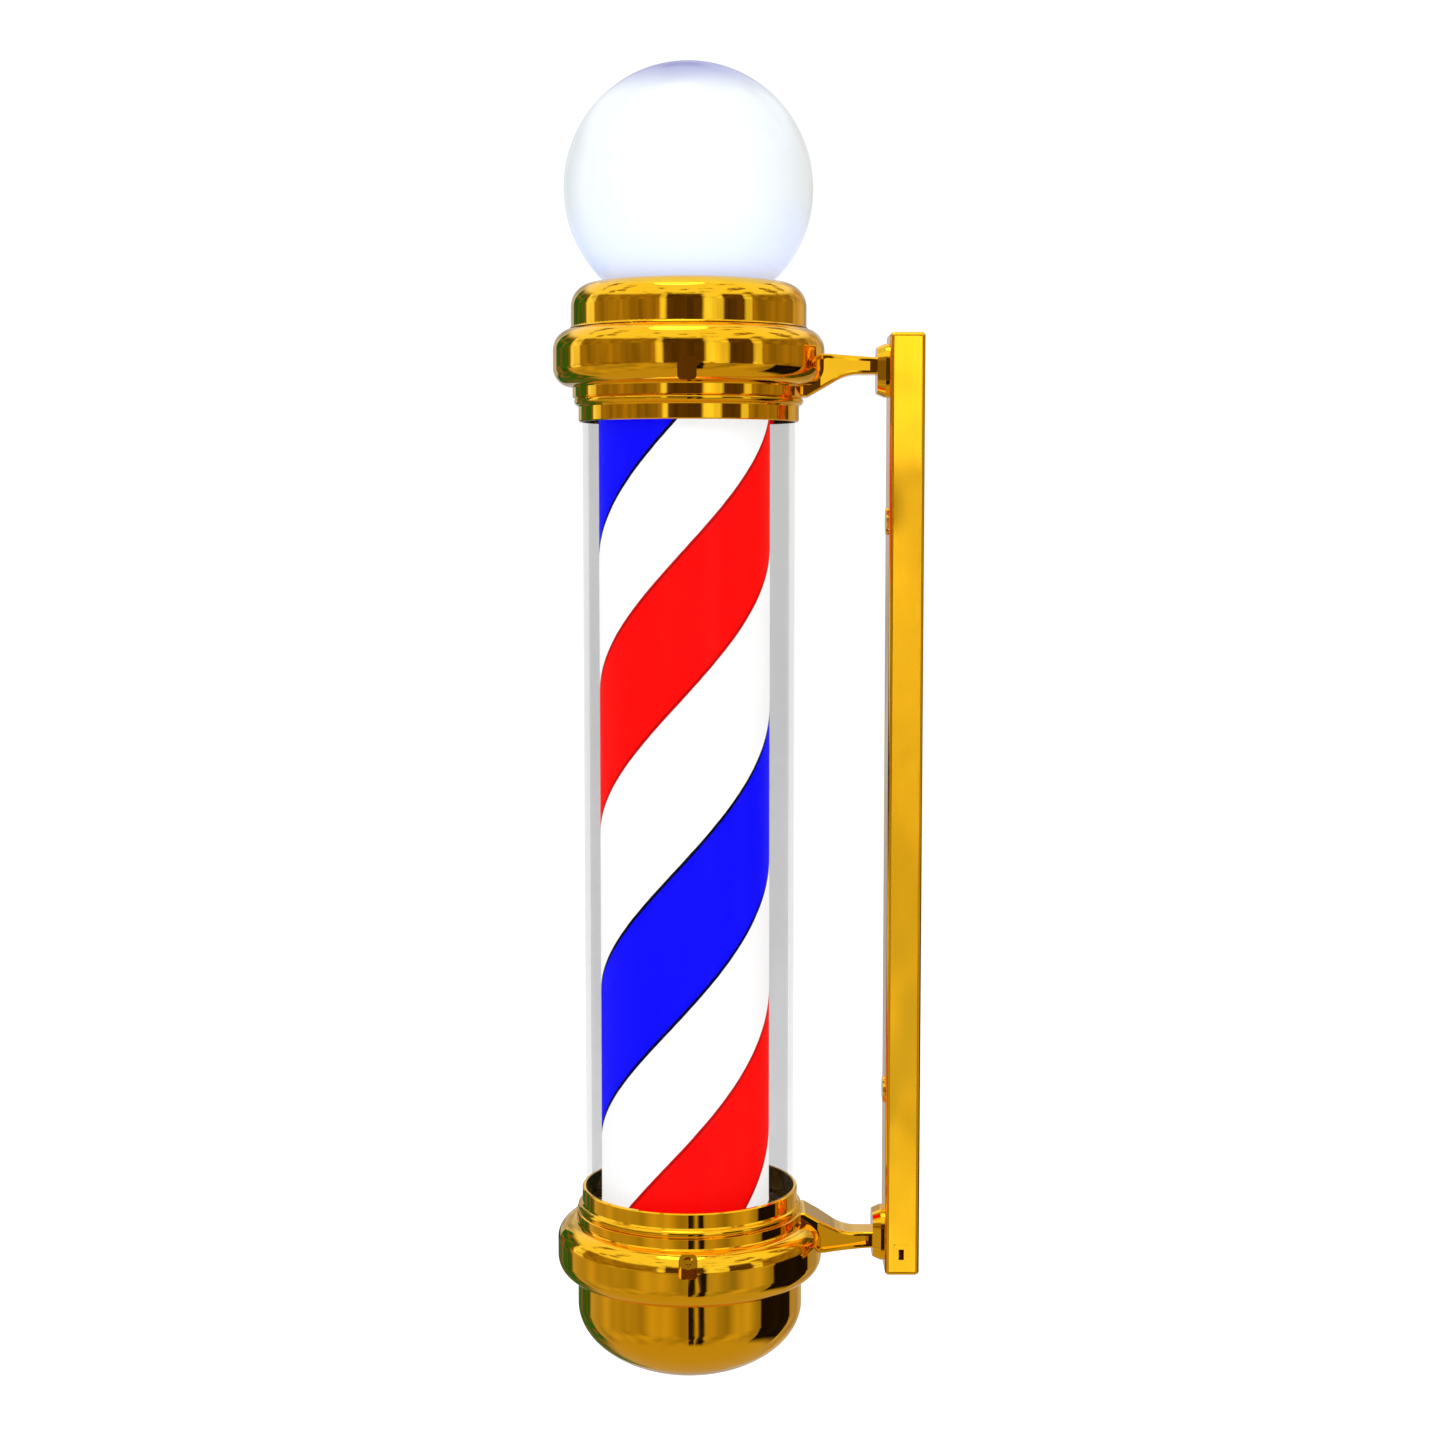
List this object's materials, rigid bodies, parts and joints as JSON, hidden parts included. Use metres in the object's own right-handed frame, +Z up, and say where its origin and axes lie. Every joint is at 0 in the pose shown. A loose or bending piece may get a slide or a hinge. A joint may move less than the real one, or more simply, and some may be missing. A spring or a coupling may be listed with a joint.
{
  "type": "barber pole light",
  "caption": "Wall-mounted barber pole light: a striped rotor in a clear tube between gold collars, an opal globe above, a bowl below and a wall bar behind.",
  "frame": {"origin": "middle of the bracket bar's back face, on the wall plane", "axes": "+Z up along the pole, +Y into the wall, +X along the wall, to the right of somebody facing the wall"},
  "size_m": [0.14, 0.191, 0.684],
  "materials": {
    "gold_plating": "die-cast light alloy with polished gold plating and tight reflections",
    "bar_gold": "aluminium, gold anodised, satin to bright, soft long reflections",
    "clear_acrylic": "clear cast acrylic, polished",
    "opal_white": "opal white diffusing globe, smooth, lit from inside",
    "striped_film": "white diffusing cylinder with printed red and blue helical stripes, lit from inside",
    "steel": "zinc plated",
    "white_nylon": "moulded nylon",
    "bush_bronze": "sintered bronze",
    "core_aluminium": "extruded, plain",
    "circuit_board": "white solder mask",
    "led_phosphor": "LED package with phosphor",
    "gasket_rubber": "soft rubber",
    "motor_metal": "pressed and die-cast metal, satin",
    "driver_plastic": "moulded, fine texture",
    "terminal_plastic": "moulded, plain",
    "lead_pvc": "extruded PVC sheath",
    "porcelain": "glazed",
    "bulb_shell": "moulded, satin",
    "bulb_metal": "nickel plated",
    "bulb_opal": "opal diffuser, lit"
  },
  "bodies": {
    "frame": {"upper_collar": "gold_plating", "lower_collar": "gold_plating", "lamp_base": "gold_plating", "lower_bowl": "gold_plating", "upper_arm": "gold_plating", "lower_arm": "gold_plating", "collar_screws": "gold_plating", "bracket_bar": "bar_gold", "bar_cap_top": "bar_gold", "bar_cap_bottom": "bar_gold", "screw_plugs": "bar_gold", "cable_grommet": "bar_gold", "clear_tube": "clear_acrylic", "globe": "opal_white", "chassis_plate": "steel", "top_plate": "steel", "lamp_tray": "steel", "tube_washers": "steel", "tube_nuts": "steel", "plate_screws": "steel", "tray_screws": "steel", "lampholder_screws": "steel", "motor_screws": "steel", "driver_screws": "steel", "arm_root_screws": "steel", "arm_foot_screws": "steel", "arm_saddles": "steel", "backing_plates": "steel", "globe_clips": "steel", "core_spacers": "white_nylon", "lower_bush": "bush_bronze", "upper_bush": "bush_bronze", "led_core": "core_aluminium", "centre_tube": "core_aluminium", "led_strips": "circuit_board", "led_chips": "led_phosphor", "tube_gaskets": "gasket_rubber", "globe_gasket": "gasket_rubber", "motor_gearbox": "motor_metal", "motor_can": "motor_metal", "led_driver": "driver_plastic", "terminal_block": "terminal_plastic", "supply_lead": "lead_pvc", "motor_lead": "lead_pvc", "lamp_lead": "lead_pvc", "strip_lead": "lead_pvc", "lampholder": "porcelain", "bulb_body": "bulb_shell", "bulb_cap": "bulb_metal", "bulb_dome": "bulb_opal"},
    "rotor": {"rotor_gear": "white_nylon", "striped_sleeve": "striped_film", "rotor_spider": "white_nylon"},
    "pinion": {"motor_shaft": "steel", "drive_pinion": "white_nylon"}
  },
  "joints": [
    {"name": "rotor_spin", "type": "hinge", "parent": "frame", "child": "rotor", "pos_m": [0, -0.1233, 0], "axis": [0, 0, 1], "continuous": true},
    {"name": "pinion_spin", "type": "hinge", "parent": "frame", "child": "pinion", "pos_m": [0, -0.1591, -0.214], "axis": [0, 0, 1], "continuous": true}
  ],
  "couplings": [
    {"joint": "pinion_spin", "follows": "rotor_spin", "ratio": -3.1765}
  ]
}
